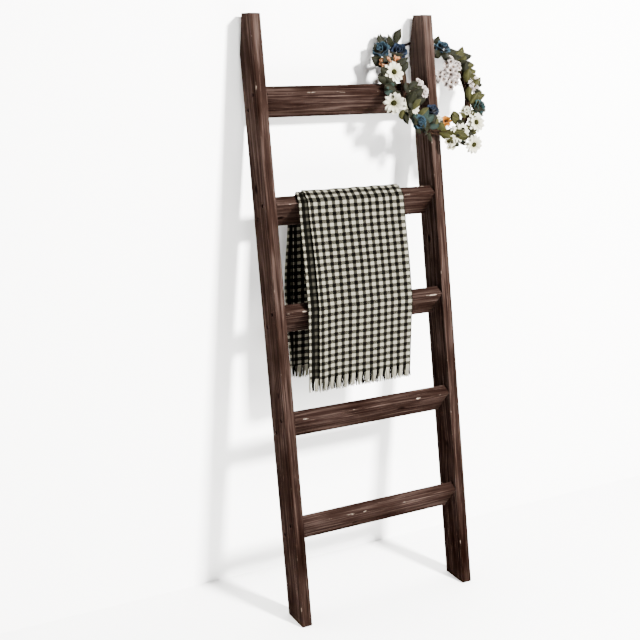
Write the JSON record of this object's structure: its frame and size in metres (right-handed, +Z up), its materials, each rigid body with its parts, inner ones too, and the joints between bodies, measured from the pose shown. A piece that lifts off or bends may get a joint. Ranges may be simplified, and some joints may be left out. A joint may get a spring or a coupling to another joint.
{
  "type": "leaning blanket rack with folded throw and wreath",
  "caption": "Leaning wooden blanket rack with turned plank rungs, a folded gingham throw over one rung and a flower wreath on one rail.",
  "frame": {"origin": "centre of the whole object's box, on the floor", "axes": "+Z up, +Y towards the wall the rack leans on, +X to the right seen from the front"},
  "size_m": [0.6024, 0.3024, 1.372],
  "materials": {
    "wood": "dark brown stain on sawn softwood, matt",
    "steel": "dark screws",
    "cloth": "black and cream gingham weave with fringed ends",
    "twig": "twisted vine twigs with bark",
    "rose_cloth": "blue artificial roses",
    "daisy_cloth": "cream artificial daisies",
    "orange_cloth": "orange artificial blossoms",
    "white_cloth": "off-white artificial blossoms"
  },
  "bodies": {
    "rack": {"left_rail": "wood", "right_rail": "wood", "rung_1": "wood", "rung_2": "wood", "rung_3": "wood", "rung_4": "wood", "rung_5": "wood", "screw_1_left_upper": "steel", "screw_1_left_lower": "steel", "screw_2_left_upper": "steel", "screw_2_left_lower": "steel", "screw_3_left_upper": "steel", "screw_3_left_lower": "steel", "screw_4_left_upper": "steel", "screw_4_left_lower": "steel", "screw_5_left_upper": "steel", "screw_5_left_lower": "steel", "screw_1_right_upper": "steel", "screw_1_right_lower": "steel", "screw_2_right_upper": "steel", "screw_2_right_lower": "steel", "screw_3_right_upper": "steel", "screw_3_right_lower": "steel", "screw_4_right_upper": "steel", "screw_4_right_lower": "steel", "screw_5_right_upper": "steel", "screw_5_right_lower": "steel"},
    "throw": {"throw": "cloth"},
    "wreath": {"wreath_ring": "twig", "rose_1": "rose_cloth", "rose_2": "rose_cloth", "rose_3": "rose_cloth", "rose_4": "rose_cloth", "rose_5": "rose_cloth", "rose_6": "rose_cloth", "daisy_1": "daisy_cloth", "daisy_2": "daisy_cloth", "daisy_3": "daisy_cloth", "daisy_4": "daisy_cloth", "daisy_5": "daisy_cloth", "orange_blossom_1": "orange_cloth", "orange_blossom_2": "orange_cloth", "orange_blossom_3": "orange_cloth", "white_blossom_1": "white_cloth", "white_blossom_2": "white_cloth", "white_blossom_3": "white_cloth", "white_blossom_4": "white_cloth"}
  },
  "joints": [
    {"name": "throw_slide", "type": "slide", "parent": "rack", "child": "throw", "axis": [1, 0, 0], "range_m": [-0.052, 0.09]},
    {"name": "wreath_lift", "type": "slide", "parent": "rack", "child": "wreath", "axis": [0, 0.1736, 0.9848], "range_m": [0, 0.3]}
  ]
}
